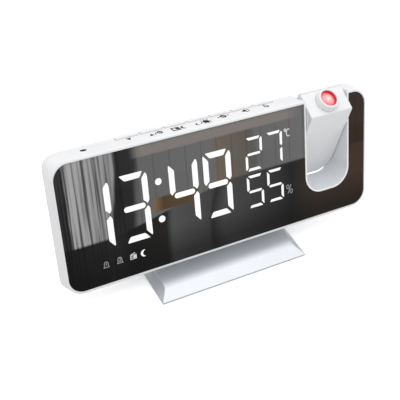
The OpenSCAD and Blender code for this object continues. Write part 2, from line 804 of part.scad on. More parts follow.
module board_screws() color("gray") in_body() {
    for (p = board_tabs()) screw_back(p, board_y + pcb_t, 0.75, 1.6, 3.2);
    for (p = main_post) screw_front(p, main_y, post_core, 1.9, 5);
}

// A screw driven from the back: its head's seat is at y
module screw_back(p, y, r, head, len) {
    rod(p[0], p[1], r, y - len, y + eps);
    difference() {
        rod(p[0], p[1], head, y, y + 1.2);
        translate([p[0], y + 1.2, p[1]]) cross_recess(head * 1.2);
    }
}

// A screw driven from the front
module screw_front(p, y, r, head, len) {
    rod(p[0], p[1], r, y - eps, y + len);
    rod(p[0], p[1], head, y - 1.2, y);
}

module housing_screws() color("gray") in_body() for (p = boss_places())
    screw_back(p, edge_depth - 2.6, core_r - fit, head_r, 9);

// ---------- keys ----------

// A key: crowned cap, flange under the housing's skin and stem down to its switch
module key(i) color("white") in_body() translate([key_first + i * key_pitch, key_y, 0]) {
    stem_low = key_pcb_z + switch_h + plunger_h + key_travel + 0.1;
    intersection() {
        translate([0, 0, top_in - flange_t / 2]) linear_extrude(wall + key_proud + flange_t / 2)
            round_rect(key_w, key_d, 1, $fn = 24);
        translate([0, 0, half_h + key_proud - crown_r]) rotate([90, 0, 0])
            cylinder(r = crown_r, h = 3 * key_d, center = true, $fn = 360);
    }
    translate([-key_w / 2 - flange, -key_d / 2 - 0.4, top_in - flange_t - fit])
        cube([key_w + 2 * flange, key_d + 0.8, flange_t]);
    translate([-stem_w / 2, -1, stem_low]) cube([stem_w, 2, top_in - flange_t / 2 - stem_low]);
}

module back_key() key(0);
module up_key() key(1);
module radio_key() key(2);
module snooze_key() key(3);
module set_key() key(4);
module volume_key() key(5);
module alarm_key() key(6);

module key_board() color("darkgreen") in_body()
    translate([key_first - key_end, key_y - key_d / 2 - 0.5, key_pcb_z - pcb_t])
        cube([(key_n - 1) * key_pitch + 2 * key_end, key_d + 1, pcb_t]);

module key_switches() color([0.1, 0.1, 0.1]) in_body() for (i = [0:key_n - 1])
    translate([key_first + i * key_pitch, key_y, key_pcb_z]) {
        translate([0, 0, switch_h / 2]) cube([switch_w, key_d, switch_h], center = true);
        cylinder(r = switch_w / 4, h = switch_h + plunger_h, $fn = 24);
    }

// ---------- sensors, speaker, cell and sockets ----------

module light_sensor_window() color([0.05, 0.05, 0.05]) in_body()
    translate([sensor_x, sensor_y, top_in]) linear_extrude(wall) sensor_outline(0);

module light_sensor() color("gray") in_body()
    translate([sensor_x, sensor_y, top_in - sensor_chip[2] / 2]) cube(sensor_chip, center = true);

module climate_sensor() color("teal") in_body() {
    translate([vent_x - climate_w / 2, edge_depth - wall - 2.4, 0]) cube([climate_w, 1, climate_h]);
    translate([vent_x - climate_chip / 2, edge_depth - wall - 1.4, 2])
        cube([climate_chip, 0.9, climate_chip]);
}

module speaker() color([0.1, 0.1, 0.1]) in_body() {
    back = hump_depth - wall;
    difference() {
        rod(speaker_x, speaker_z, speaker_r, back - 2.4, back);
        translate([speaker_x, back + 0.1, speaker_z]) rotate([90, 0, 0])
            cylinder(r1 = speaker_r - 1.5, r2 = 4, h = 1.8);
    }
    rod(speaker_x, speaker_z, speaker_r - 4, back - speaker_t, back - 2.4 + eps);
}

module backup_cell() color("lightsteelblue") in_body() {
    seat = hump_depth - wall - lug_t - fit;
    rod(cell_x, cell_z, cell_r, seat - cell_t + 0.5, seat);
    rod(cell_x, cell_z, cell_r - 1.2, seat - cell_t, seat - cell_t + 0.5 + eps);
}

module cell_contacts() color("gold") in_body() {
    floor_y = hump_depth - wall - lug_t - cell_t - 1.2;
    translate([cell_x - leaf_w / 2, 0, cell_z]) {
        slab(floor_y, floor_y + 0.3) translate([0, -leaf_reach]) square([leaf_w, 2 * leaf_reach]);
        for (s = [-1, 1]) slab(floor_y + 0.3 - eps, floor_y + 1.1)
            translate([0, s * (leaf_reach - 1) - 1]) square([leaf_w, 2]);
    }
}

module battery_door() color("whitesmoke") in_body() difference() {
    deck = hump_depth - wall;
    union() {
        rod(cell_x, cell_z, door_r, deck, hump_depth);
        rod(cell_x, cell_z, door_r - 0.6, deck - lug_t + fit, deck + eps);
        for (s = [0, 180]) translate([cell_x, 0, cell_z]) rotate([0, s, 0]) intersection() {
            slab(deck - lug_t + fit, deck - fit) translate([0, -3]) square([lug_r, 6]);
            rod(0, 0, lug_r, 0, big);
        }
    }
    translate([cell_x, hump_depth, cell_z]) cube([15, 1.6, 1.8], center = true);
}

module dc_jack() color([0.07, 0.07, 0.07]) in_body() {
    difference() {
        union() {
            translate([port_x - dc_body[0] / 2, main_y + pcb_t, dc_z - dc_body[1] / 2])
                cube([dc_body[0], hump_depth - wall - main_y - pcb_t, dc_body[1]]);
            rod(port_x, dc_z, 3, hump_depth - wall - eps, hump_depth);
        }
        rod(port_x, dc_z, dc_bore_r, main_y + pcb_t + 1.2, big);
    }
    rod(port_x, dc_z, dc_pin_r, main_y + pcb_t + 1.2 - eps, hump_depth - 1);
}

module usb_port() color("silver") in_body() translate([port_x, 0, usb_z]) {
    mouth = hump_depth - 0.2;
    root = mouth - usb_len;
    difference() {
        slab(main_y + pcb_t, mouth) square(usb, center = true);
        slab(main_y + pcb_t + 1, big) square([usb[0] - 2 * usb_wall, usb[1] - 2 * usb_wall],
                                           center = true);
    }
    slab(main_y + pcb_t + 1 - eps, mouth - 1.2) translate([0, usb[1] / 2 - 2])
        square([usb[0] - 2, 1.9], center = true);
}

// ---------- projector arm ----------

// Side view of the arm as (y, z): flat face, sloping top, rounded back and thin tail
arm_edge = 1;                     // rounding of the arm's top edges
arm_knee = -4;                    // where the back begins to curve in
arm_bend = 16;
tail_y = arm_front + arm_tail;
tail_vec = [tail_y - arm_back + arm_bend, arm_low - arm_knee];
tail_lean = -atan2(tail_vec[1], tail_vec[0]) - acos(arm_bend / norm(tail_vec));
function arm_top(y) = arm_up + (y - arm_front) * tan(arm_slope);
// Depth of the arm's back face at height z, below the knee
function arm_back_at(z) = tail_y + (z - arm_low) * tan(tail_lean);

module arm_profile() {
    drop = arm_edge / cos(arm_slope);
    polygon(concat(
        [[arm_front, arm_low]],
        arc(arm_front + arm_edge, arm_top(arm_front + arm_edge) - drop, arm_edge,
            180, 90 + arm_slope, 5),
        arc(arm_back - arm_edge, arm_top(arm_back - arm_edge) - drop, arm_edge,
            90 + arm_slope, 0, 6),
        arc(arm_back - arm_bend, arm_knee, arm_bend, 0, -tail_lean, 8),
        [[tail_y, arm_low]]));
}

// Extrudes a side view of (y, z) across the arm's width
module across(w) {
    translate([-w / 2, 0, 0]) rotate([90, 0, 90]) linear_extrude(w) children();
}

// Front view of the arm: square shoulders and a round lower end
module arm_outline(g = 0) {
    w = arm_w / 2 - g;
    r = arm_corner - g;
    low = arm_low + g;
    translate([-w, low + r]) square([2 * w, 2 * arm_len]);
    translate([-w + r, low]) square([2 * (w - r), r + 1]);
    for (s = [-1, 1]) translate([s * (w - r), low + r]) circle(r = r, $fn = 64);
}

module arm_solid() {
    intersection() {
        across(arm_w) arm_profile();
        slab(-big / 8, big / 8) arm_outline();
    }
}

// Room inside the arm, open to the back
module arm_cavity() {
    y0 = arm_front + arm_wall;
    y1 = arm_back + 4;
    drop = arm_wall / cos(arm_slope);
    intersection() {
        across(arm_w) polygon([[y0, arm_low], [y0, arm_top(y0) - drop], [y1, arm_top(y1) - drop],
                               [y1, arm_low]]);
        slab(-big / 8, big / 8) arm_outline(arm_wall);
    }
}

// Screws of the back cover, as (x, z)
cover_t = 1.3;
cover_screw = [[-8.5, -11], [8.5, -11], [0, -25]];
cover_seat = 2.4;                 // depth of the cover's screw bosses below its outer face

module arm_housing() color("white") in_arm() difference() {
    union() {
        difference() {
            intersection() {
                arm_solid();
                translate([0, -cover_t - fit, 0]) arm_solid();
            }
            arm_cavity();
        }
        intersection() {
            translate([0, -cover_t - fit, 0]) arm_solid();
            arm_inside();
        }
    }
    for (s = [0, 180]) rotate([0, s, 0]) axle(washer_r + 0.2, arm_w / 2 - washer_seat, big / 8);
    axle(pin_r + run, -big / 8, big / 8);
    translate([0, lens_y, lens_z]) rotate([arm_slope, 0, 0]) {
        translate([0, 0, -12]) cylinder(r = barrel_r + run, h = 30);
        translate([0, 0, -arm_wall - eps]) cylinder(r = ring_neck + slip, h = 10);
    }
    for (p = cover_screw) rod(p[0], p[1], screw_core + fit, arm_front + arm_wall, big / 8);
}

// Hubs, the guide tube with its bulkhead, board posts and screw posts inside the arm
module arm_inside() {
    for (s = [0, 180]) rotate([0, s, 0]) axle(pin_r + 1.6, arm_w / 2 - hub_in, arm_w / 2 - 0.3);
    translate([0, lens_y, lens_z]) rotate([arm_slope, 0, 0]) {
        intersection() {
            translate([0, 0, plate_u - plate_t]) linear_extrude(plate_t)
                square([arm_w - arm_wall, 30], center = true);
            rotate([-arm_slope, 0, 0]) translate([0, -lens_y, -lens_z])
                slab(arm_front + eps, arm_back - cover_t - 1.2) square(2 * arm_len, center = true);
        }
        translate([0, 0, guide_u]) cylinder(r = guide_r, h = guide_len);
        for (s = [-1, 1]) translate([s * post_x, 0, board_u + 1]) difference() {
            cylinder(r = 1.4, h = plate_u - plate_t / 2 - board_u - 1);
            translate([0, 0, -1]) cylinder(r = 0.65, h = 4.2, $fn = 24);
        }
    }
    for (p = cover_screw) rod(p[0], p[1], 2.2, arm_front + arm_wall - eps,
                              arm_back_at(p[1]) - cover_seat - fit);
}

module arm_back_cover() color("whitesmoke") in_arm() difference() {
    union() {
        difference() {
            arm_solid();
            translate([0, -cover_t, 0]) arm_solid();
        }
        for (p = cover_screw) intersection() {
            rod(p[0], p[1], 2.6, arm_back_at(p[1]) - cover_seat, big / 8);
            arm_solid();
        }
    }
    for (p = cover_screw) {
        rod(p[0], p[1], screw_core + 0.2, 0 - big / 8, big / 8);
        rod(p[0], p[1], 1.9, arm_back_at(p[1]) - 1.4, big / 8);
    }
}

module arm_screws() color("gray") in_arm() for (p = cover_screw)
    screw_back(p, arm_back_at(p[1]) - 1.4, screw_core, 1.7, 5);

module focus_ring() color("white") on_lens() rotate_extrude($fn = 64) polygon([
    [barrel_r + run, ring_h - 0.2], [barrel_r + run + 0.2, ring_h], [ring_top_r - 0.35, ring_h],
    [ring_top_r, ring_h - 0.35], [ring_r, 0.5], [ring_r, 0.15], [ring_neck, 0.15],
    [ring_neck, -arm_wall - 0.1], [ring_neck + 0.35, -arm_wall - 0.2], [ring_neck + 0.1, ring_low],
    [barrel_r + run, ring_low]]);

module lens_barrel() color([0.1, 0.1, 0.1]) on_lens() difference() {
    translate([0, 0, barrel_up - barrel_len]) cylinder(r = barrel_r, h = barrel_len);
    translate([0, 0, barrel_up - barrel_len - 1]) cylinder(r = lens_bore - 0.5, h = barrel_len + 2);
    translate([0, 0, barrel_up - 2.4]) cylinder(r = lens_bore, h = 3);
}

module projection_lens() color([1, 0.6, 0.6]) on_lens() intersection() {
    translate([0, 0, barrel_up - 2.4]) cylinder(r = lens_bore - 0.03, h = 3);
    translate([0, 0, barrel_up - 8.8]) sphere(r = 8.6, $fn = 64);
}

module projection_lcd() color("slategray") on_lens()
    translate([-guide_r + 0.6, -3.5, guide_u - fit - 0.9]) cube([2 * guide_r - 1.2, 7, 0.9]);

module projection_led() color("red") on_lens() translate([0, 0, board_u + 1]) {
    cylinder(r = 1.5, h = 1.6);
    translate([-2, -2, 0]) cube([4, 4, 0.5]);
}

module projector_board() color("darkgreen") on_lens() difference() {
    translate([-post_x - 1.8, -2.6, board_u]) cube([2 * post_x + 3.6, 5.2, 1]);
    for (s = [-1, 1]) translate([s * post_x, 0, board_u - 1]) cylinder(r = 0.9, h = 3, $fn = 24);
}

module projector_screws() color("gray") on_lens() for (s = [-1, 1])
    translate([s * post_x, 0, board_u - 0.9]) {
        cylinder(r = 1.5, h = 0.9);
        cylinder(r = 0.6, h = 4.4, $fn = 24);
    }

// ---------- hinge ----------

module hinge_pins() color("gray") in_body() translate([bay_x, hinge_y, hinge_z]) for (s = [0, 180])
    rotate([0, s, 0]) difference() {
        union() {
            axle(pin_r, arm_w / 2 - hub_in + 0.4, pin_end + eps);
            axle(pin_r + 1.4, pin_end, pin_end + pin_head_t);
        }
        axle(0.9, 0, big / 8);
    }

module friction_washers() color("gold") in_body() translate([bay_x, hinge_y, hinge_z]) for (s = [0, 180])
    rotate([0, s, 0]) difference() {
        axle(washer_r, bay_w / 2 - fit - washer_t, bay_w / 2 - fit);
        axle(pin_r + run, 0, big / 8);
    }

stand();
anti_slip_pad();
stand_screws();
rear_housing();
front_frame();
mirror_panel();
projector_bay();
diffuser_film();
segment_mask();
reflector_block();
display_board();
segment_leds();
main_board();
board_components();
board_connector();
key_board();
key_switches();
back_key();
up_key();
radio_key();
snooze_key();
set_key();
volume_key();
alarm_key();
light_sensor_window();
light_sensor();
speaker();
backup_cell();
cell_contacts();
battery_door();
dc_jack();
usb_port();
climate_sensor();
board_screws();
housing_screws();
hinge_pins();
friction_washers();
arm_housing();
arm_back_cover();
arm_screws();
focus_ring();
lens_barrel();
projection_lens();
projection_lcd();
projection_led();
projector_board();
projector_screws();
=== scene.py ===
# Projection alarm clock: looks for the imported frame.
import json
import math
import bmesh
import bpy
from mathutils import Matrix, Vector


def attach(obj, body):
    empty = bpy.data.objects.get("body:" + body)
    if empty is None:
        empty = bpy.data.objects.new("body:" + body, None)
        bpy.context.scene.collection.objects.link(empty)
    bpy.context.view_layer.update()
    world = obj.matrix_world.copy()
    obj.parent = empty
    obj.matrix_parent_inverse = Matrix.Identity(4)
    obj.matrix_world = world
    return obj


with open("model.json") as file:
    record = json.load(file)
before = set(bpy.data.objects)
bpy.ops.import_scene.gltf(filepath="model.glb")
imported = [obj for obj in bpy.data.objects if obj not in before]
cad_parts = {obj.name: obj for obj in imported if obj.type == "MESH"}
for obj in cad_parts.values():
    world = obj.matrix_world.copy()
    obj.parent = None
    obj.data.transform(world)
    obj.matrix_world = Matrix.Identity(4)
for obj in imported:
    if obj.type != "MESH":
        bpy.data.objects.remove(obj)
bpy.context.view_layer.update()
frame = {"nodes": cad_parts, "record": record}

# ---------------------------------------------------------------- placing
# Objects and node trees are in metres. The flat signs are written in mm: x and height from
# the middle of the mirror face, or x and depth behind that face where they lie on the top edge.
RECLINE = math.radians(23.0)
ORIGIN = (0.0, -0.0005933, 0.0472131)   # middle of the mirror face
BODY = Matrix.Translation(ORIGIN) @ Matrix.Rotation(-RECLINE, 4, "X")
TOP = 35.3                              # top of the body, up the mirror
SIGN_ROW = 6.4                          # middle of the printed signs
SIGN_STRETCH = 1.3                      # how much deeper they are drawn than written
FACE_GAP, TOP_GAP = 0.02, 0.01          # air under the lit figures and under the print
FIGURE_THICK, SIGN_THICK, INK_THICK = 0.12, 0.1, 0.03


def body_point(x, depth, up):
    """A point in mm of the body's own frame, in the frame that all pieces share."""
    return BODY @ Vector((x / 1000, depth / 1000, up / 1000))


def on_mirror(x, up, h):
    return body_point(x, -FACE_GAP - h, up)


def on_top(x, depth, h):
    return body_point(x, SIGN_ROW + SIGN_STRETCH * (depth - SIGN_ROW), TOP + TOP_GAP + h)


# ---------------------------------------------------------------- node helpers
MIX_FACTOR, MIX_A, MIX_B, MIX_RESULT = 0, 6, 7, 2   # the colour sockets of a Mix node
NOISE_RANGE = (0.3, 0.7)                # where most of the values of a noise lie
FINE, COARSE = 900.0, 38.0              # noise scales of the skin and of the colour drift
BUMP_HEIGHT = 0.0001
SMOOTH_BELOW = math.radians(32)         # edges sharper than this stay sharp


def new_mat(name):
    m = bpy.data.materials.new(name)
    m.use_nodes = True
    return m, m.node_tree, m.node_tree.nodes["Principled BSDF"]


def coords(nt):
    return nt.nodes.new("ShaderNodeTexCoord").outputs["Object"]


def noise(nt, scale, detail=4.0, rough=0.5, vector=None):
    n = nt.nodes.new("ShaderNodeTexNoise")
    n.inputs["Scale"].default_value = scale
    n.inputs["Detail"].default_value = detail
    n.inputs["Roughness"].default_value = rough
    nt.links.new(vector or coords(nt), n.inputs["Vector"])
    return n.outputs["Fac"]


def grey(v, warm=0.0):
    return (v * (1 + warm), v, v * (1 - warm), 1)


def ramp(nt, src, *stops):
    """A colour ramp of (place, colour) stops, where a plain number is a grey."""
    stops = [(place, c if isinstance(c, tuple) else grey(c)) for place, c in stops]
    r = nt.nodes.new("ShaderNodeValToRGB")
    e = r.color_ramp.elements
    e[0].position, e[0].color = stops[0]
    e[1].position, e[1].color = stops[-1]
    for place, c in stops[1:-1]:
        e.new(place).color = c
    nt.links.new(src, r.inputs["Fac"])
    return r.outputs["Color"]


def span(nt, src, a, b, lo=0.0, hi=1.0):
    """src, mapped from a..b to lo..hi and held there."""
    mr = nt.nodes.new("ShaderNodeMapRange")
    for key, v in (("From Min", a), ("From Max", b), ("To Min", lo), ("To Max", hi)):
        mr.inputs[key].default_value = v
    nt.links.new(src, mr.inputs["Value"])
    return mr.outputs["Result"]


def feed(nt, socket, v):
    """Set the socket to a number or colour, or link it to another socket."""
    if isinstance(v, (int, float, tuple)):
        socket.default_value = v
    else:
        nt.links.new(v, socket)


def maths(nt, op, a, b):
    n = nt.nodes.new("ShaderNodeMath")
    n.operation = op
    feed(nt, n.inputs[0], a)
    feed(nt, n.inputs[1], b)
    return n.outputs["Value"]


def blend(nt, fac, a, b, kind="MIX"):
    n = nt.nodes.new("ShaderNodeMix")
    n.data_type = "RGBA"
    n.blend_type = kind
    for key, v in ((MIX_FACTOR, fac), (MIX_A, a), (MIX_B, b)):
        feed(nt, n.inputs[key], v)
    return n.outputs[MIX_RESULT]


def times(nt, a, b):
    return blend(nt, 1.0, a, b, "MULTIPLY")


def skin(nt, b, height, strength, edge=0.0):
    """Fine surface grain, over edges softened by the radius edge."""
    bp = nt.nodes.new("ShaderNodeBump")
    bp.inputs["Strength"].default_value = strength
    bp.inputs["Distance"].default_value = BUMP_HEIGHT
    nt.links.new(height, bp.inputs["Height"])
    if edge:
        bv = nt.nodes.new("ShaderNodeBevel")
        bv.samples = 6
        bv.inputs["Radius"].default_value = edge
        nt.links.new(bv.outputs["Normal"], bp.inputs["Normal"])
    nt.links.new(bp.outputs["Normal"], b.inputs["Normal"])


# ---------------------------------------------------------------- plain finishes
def drift(nt, lo, hi):
    """A colour that drifts slowly between lo and hi over the surface."""
    return ramp(nt, noise(nt, COARSE, 3.0), (0.25, (*lo, 1)), (0.75, (*hi, 1)))


def grain_of(nt, scale):
    return noise(nt, scale, 5.0, 0.6)


def gloss(nt, b, src, lo, hi):
    """Roughness from lo to hi with the noise src."""
    nt.links.new(span(nt, src, *NOISE_RANGE, lo, hi), b.inputs["Roughness"])


def finish(name, lo, hi, rough, metallic=0.0, scale=FINE, grain=0.02, coat=0.0, edge=0.0,
           specular=None):
    """A solid finish with slight colour drift, uneven gloss and a fine skin."""
    m, nt, b = new_mat(name)
    fine = grain_of(nt, scale)
    nt.links.new(drift(nt, lo, hi), b.inputs["Base Color"])
    gloss(nt, b, fine, *rough)
    skin(nt, b, fine, grain, edge)
    b.inputs["Metallic"].default_value = metallic
    if coat:
        b.inputs["Coat Weight"].default_value = coat
        b.inputs["Coat Roughness"].default_value = 0.12
    if specular is not None:
        b.inputs["Specular IOR Level"].default_value = specular
    return m


def lit(name, colour, strength, body=1.0):
    """A surface that gives light of its own, over a base of that colour times body."""
    m, nt, b = new_mat(name)
    dimmer = tuple(v * 0.93 for v in colour)
    c = ramp(nt, noise(nt, 160, 2.0), (0.3, (*dimmer, 1)), (0.6, (*colour, 1)))
    nt.links.new(times(nt, c, grey(body)), b.inputs["Base Color"])
    nt.links.new(c, b.inputs["Emission Color"])
    b.inputs["Emission Strength"].default_value = strength
    b.inputs["Roughness"].default_value = 0.35
    return m


# ---------------------------------------------------------------- the slot, the lens
def local(nt):
    """Position in the body's own frame, in metres: as a vector, and as x, depth and height."""
    mp = nt.nodes.new("ShaderNodeMapping")
    mp.vector_type = "TEXTURE"
    mp.inputs["Location"].default_value = ORIGIN
    mp.inputs["Rotation"].default_value = (-RECLINE, 0, 0)
    nt.links.new(coords(nt), mp.inputs["Vector"])
    sep = nt.nodes.new("ShaderNodeSeparateXYZ")
    nt.links.new(mp.outputs["Vector"], sep.inputs["Vector"])
    return mp.outputs["Vector"], sep.outputs


LIP_FRONT, LIP_END = -0.0002, 0.0       # depth over which the white of the slot's lip ends
# painted highlight: the lip is whiter than the shell, as if it caught the light
LIP_PAINTED_HIGHLIGHT = (0.93, 0.93, 0.935, 1)


def liner():
    """The projector's slot: its lip painted whiter than the shell as a painted highlight, its
    inside painted greyer and bluer as painted shade in the recess.
    """
    m, nt, b = new_mat("slot_painted_shade_and_highlight")
    depth = local(nt)[1]["Y"]
    fine = grain_of(nt, FINE)
    # painted shade: deeper in the slot the colour turns greyer and bluer
    inside = drift(nt, (0.7, 0.716, 0.742), (0.735, 0.75, 0.775))
    c = blend(nt, span(nt, depth, LIP_FRONT, LIP_END), LIP_PAINTED_HIGHLIGHT, inside)
    nt.links.new(c, b.inputs["Base Color"])
    gloss(nt, b, fine, 0.3, 0.42)
    skin(nt, b, fine, 0.02, 0.0003)
    return m


LENS_AT = (0.0654, 0.0110, 0.0794)      # middle of the lens's outer face
LENS_R = 0.0052


def lens():
    """Lit lens: white hot in the middle, red at its edge."""
    m, nt, b = new_mat("lens_glass")
    dist = nt.nodes.new("ShaderNodeVectorMath")
    dist.operation = "DISTANCE"
    nt.links.new(coords(nt), dist.inputs[0])
    dist.inputs[1].default_value = LENS_AT
    uneven = span(nt, noise(nt, 260, 2.0), *NOISE_RANGE, -0.0006, 0.0006)
    out = span(nt, maths(nt, "ADD", dist.outputs["Value"], uneven), 0.0, LENS_R)
    c = ramp(nt, out, (0.0, (1.0, 0.86, 0.74, 1)), (0.22, (1.0, 0.6, 0.54, 1)),
             (0.5, (0.96, 0.33, 0.35, 1)), (0.78, (0.86, 0.14, 0.17, 1)),
             (1.0, (0.7, 0.04, 0.06, 1)))
    b.inputs["Base Color"].default_value = (0.12, 0.015, 0.02, 1)
    nt.links.new(c, b.inputs["Emission Color"])
    b.inputs["Emission Strength"].default_value = 0.95
    b.inputs["Roughness"].default_value = 0.06
    b.inputs["Coat Weight"].default_value = 0.6
    b.inputs["Coat Roughness"].default_value = 0.03
    return m


# ---------------------------------------------------------------- the mirror and its painted reflection
HALF_WIDE = 0.0925                      # the pattern runs from 0 to 1 over twice this width
# tones of the painted reflection on the glass
REFLECTED_BROWN = (0.036, 0.022, 0.016, 1)
REFLECTED_WOOD = (0.046, 0.028, 0.02, 1)
REFLECTED_STRIP_TONE = (0.225, 0.2, 0.19, 1)


def bands(nt, place, scale):
    """Upright bands along x, uneven in width and depth, that lean a little with height."""
    flat = nt.nodes.new("ShaderNodeMapping")
    flat.inputs["Scale"].default_value = (1.0, 0.0, 0.016)
    flat.inputs["Location"].default_value = (0.31, 0.0, 0.0)
    nt.links.new(place, flat.inputs["Vector"])
    return noise(nt, scale, 3.0, 0.55, flat.outputs["Vector"])


def lines(nt, place, scale):
    """Even upright waves along x, whose crests are thin lines once they are cut off."""
    wave = nt.nodes.new("ShaderNodeTexWave")
    wave.bands_direction = "X"
    wave.inputs["Scale"].default_value = scale
    nt.links.new(place, wave.inputs["Vector"])
    return wave.outputs["Fac"]


def boxed(nt, u, edges_u, v, edges_v):
    """1 inside a soft-edged box of u and v, 0 outside it."""
    sides = []
    for src, (a, b, c, d) in ((u, edges_u), (v, edges_v)):
        sides += [span(nt, src, a, b), span(nt, src, c, d, 1.0, 0.0)]
    out = sides[0]
    for side in sides[1:]:
        out = maths(nt, "MULTIPLY", out, side)
    return out


def mirror():
    """Smoked mirror with a painted reflection: soft bands of light and shade above, near black
    below, painted into the glass's colour.
    """
    m, nt, b = new_mat("mirror_glass")
    place, axes = local(nt)
    x, up = axes["X"], axes["Z"]
    wobble = span(nt, noise(nt, 18, 2.0, vector=place), *NOISE_RANGE, -0.004, 0.004)
    across = span(nt, maths(nt, "ADD", x, wobble), -HALF_WIDE, HALF_WIDE)
    # painted reflection: the tones across the glass, above and below the line where they meet
    high = ramp(nt, across,
                (0.0, 0.03), (0.02, 0.03), (0.027, 0.42), (0.152, 0.3), (0.158, 0.016),
                (0.21, 0.022), (0.225, 0.13), (0.46, 0.145), (0.466, grey(0.13, 0.22)),
                (0.59, grey(0.1, 0.08)), (0.6, 0.135), (0.8, 0.16), (0.86, REFLECTED_BROWN), (1.0, REFLECTED_BROWN))
    low = ramp(nt, across,
               (0.0, 0.006), (0.16, 0.015), (0.2, 0.006), (0.31, grey(0.012, 0.1)),
               (0.33, 0.075), (0.455, 0.05), (0.466, 0.02), (0.5, 0.06), (0.56, 0.05),
               (0.72, 0.014), (0.76, grey(0.02, 0.2)), (0.82, REFLECTED_WOOD), (1.0, REFLECTED_WOOD))
    # painted reflection: the lower part darkens towards the bottom of the glass
    low = times(nt, low, ramp(nt, span(nt, up, -0.029, -0.013), (0.0, 0.35), (1.0, 1.05)))

    # painted reflection of uneven folds at the left and of thin seams over the rest of the upper
    # part
    reflected_folds = span(nt, bands(nt, place, 620.0), 0.4, 0.54, 0.2, 1.0)
    reflected_seams = span(nt, lines(nt, place, 35.0), 0.97, 1.0, 1.0, 0.78)
    reflected_fold_share = ramp(nt, across, (0.0, 1), (0.152, 1), (0.16, 0.6), (0.21, 0.4), (0.226, 0))
    high = times(nt, high, blend(nt, reflected_fold_share, reflected_seams, reflected_folds))
    reflected_fold_share_low = ramp(nt, across, (0.0, 0.7), (0.16, 0.5), (0.2, 0.0), (1.0, 0.0))
    low = times(nt, low, blend(nt, reflected_fold_share_low, grey(1), reflected_folds))

    # the two parts of the painted reflection meet on a line that climbs to the right
    horizon = span(nt, across, 0.16, 0.5, -0.0100, 0.0035)
    c = blend(nt, span(nt, maths(nt, "SUBTRACT", up, horizon), -0.0006, 0.0006), low, high)

    # painted reflection of a warm bar in the middle and of a pale strip along the top
    reflected_bar = boxed(nt, across, (0.262, 0.27, 0.40, 0.41), up, (-0.0034, -0.0026, 0.0040, 0.0048))
    c = blend(nt, reflected_bar, c, ramp(nt, across, (0.27, (0.19, 0.13, 0.07, 1)),
                               (0.3, (0.085, 0.052, 0.026, 1)), (0.4, (0.10, 0.062, 0.034, 1))))
    reflected_strip = boxed(nt, across, (0.2, 0.24, 0.7, 0.76), up, (0.0275, 0.0285, 0.0325, 0.0345))
    c = blend(nt, reflected_strip, c, REFLECTED_STRIP_TONE)
    nt.links.new(c, b.inputs["Base Color"])
    gloss(nt, b, noise(nt, 60, 2.0), 0.02, 0.05)
    b.inputs["Specular IOR Level"].default_value = 0.12
    return m


# ---------------------------------------------------------------- the finish of every node
SLOTS = {
    "white_shell": finish("white_shell", (0.79, 0.795, 0.81), (0.83, 0.835, 0.845),
                          (0.26, 0.38), coat=0.2, edge=0.0005),
    "silver_satin": finish("silver_satin", (0.555, 0.575, 0.605), (0.585, 0.605, 0.635),
                           (0.28, 0.32), metallic=0.7, scale=700, grain=0.002, edge=0.0003),
    "pad_rubber": finish("pad_rubber", (0.02, 0.02, 0.02), (0.04, 0.04, 0.04), (0.7, 0.9),
                         grain=0.4),
    "screw_steel": finish("screw_steel", (0.5, 0.5, 0.51), (0.6, 0.6, 0.61), (0.25, 0.4),
                          metallic=1.0, scale=2500),
    "bright_metal": finish("bright_metal", (0.7, 0.7, 0.71), (0.78, 0.78, 0.78), (0.18, 0.3),
                           metallic=1.0),
    "spring_brass": finish("spring_brass", (0.62, 0.45, 0.2), (0.72, 0.54, 0.27),
                           (0.22, 0.35), metallic=1.0),
    "white_inner": finish("white_inner", (0.8, 0.8, 0.8), (0.86, 0.86, 0.86), (0.45, 0.6)),
    "ivory_plastic": finish("ivory_plastic", (0.72, 0.68, 0.56), (0.8, 0.76, 0.64),
                            (0.4, 0.55)),
    "black_plastic": finish("black_plastic", (0.012, 0.012, 0.013), (0.03, 0.03, 0.03),
                            (0.4, 0.6), grain=0.08),
    "smoked_plastic": finish("smoked_plastic", (0.006, 0.006, 0.008), (0.012, 0.012, 0.014),
                             (0.3, 0.4), specular=0.03),
    "circuit_board": finish("circuit_board", (0.012, 0.10, 0.04), (0.02, 0.16, 0.07),
                            (0.25, 0.4), scale=2000, grain=0.1),
    "white_light": finish("white_light", (0.8, 0.8, 0.74), (0.9, 0.9, 0.84), (0.3, 0.4)),
    "red_light": finish("red_light", (0.6, 0.02, 0.03), (0.8, 0.05, 0.06), (0.1, 0.2)),
    "mirror_glass": mirror(),
    "lens_glass": lens(),
}
# nodes that look different from the rest of their slot: the lens barrel glows red as painted
# light from the lens, and the projector bay has a painted highlight on its lip and painted shade
# inside
OWN = {"lens_barrel": lit("black_plastic_painted_red_glow", (0.42, 0.012, 0.02), 0.5),
       "projector_bay": liner()}
GLOW = lit("display_light", (1.0, 1.0, 0.985), 0.9, 0.15)
FAINT = lit("display_sign", (0.62, 0.62, 0.61), 0.85, 0.3)
DIM = lit("display_faint_sign", (0.3, 0.3, 0.3), 0.7, 0.3)
INK = finish("printed_ink", (0.008, 0.008, 0.009), (0.018, 0.018, 0.018), (0.6, 0.75),
             specular=0.05)

for sub in frame["record"]["subparts"]:
    mesh = frame["nodes"][sub["node"]].data
    mesh.materials.clear()
    mesh.materials.append(OWN.get(sub["node"], SLOTS[sub["material_slot"]]))
    mesh.shade_smooth()
    mesh.set_sharp_from_angle(angle=SMOOTH_BELOW)


# ---------------------------------------------------------------- flat shapes
# A shape is a polygon, or an (outer, inner) pair of polygons for a ring.
def arc(cx, cz, r, a0, a1, n=10, rz=None):
    """n + 1 points of an arc from a0 to a1 degrees, of radius r, or rz upwards."""
    turns = [math.radians(a0 + (a1 - a0) * i / n) for i in range(n + 1)]
    return [(cx + r * math.cos(t), cz + (rz or r) * math.sin(t)) for t in turns]


